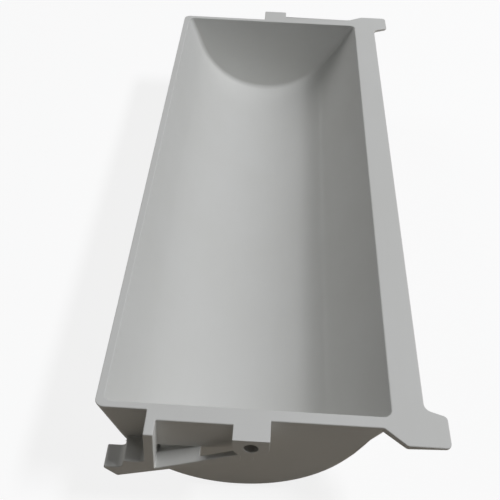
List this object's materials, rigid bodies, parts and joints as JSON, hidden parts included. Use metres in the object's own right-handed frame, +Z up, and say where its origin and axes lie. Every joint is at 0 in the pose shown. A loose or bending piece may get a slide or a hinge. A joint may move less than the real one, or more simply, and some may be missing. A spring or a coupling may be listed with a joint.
{
  "type": "conveyor elevator bucket",
  "caption": "Long round-bottomed moulded bucket with an eared overlap lip, end pivot bosses and a tipping arm, for a swinging-bucket conveyor elevator.",
  "frame": {"origin": "on the pivot axis, at the mouth of the pivot bore on the arm end", "axes": "+X across the bucket towards its lip, +Y along the pivot axis from the arm end to the far end, +Z up out of the mouth"},
  "size_m": [0.1468, 0.354, 0.0595],
  "materials": {
    "bucket": "matte moulded, pale warm grey"
  },
  "bodies": {
    "root": {"bucket": "bucket"}
  },
  "joints": []
}
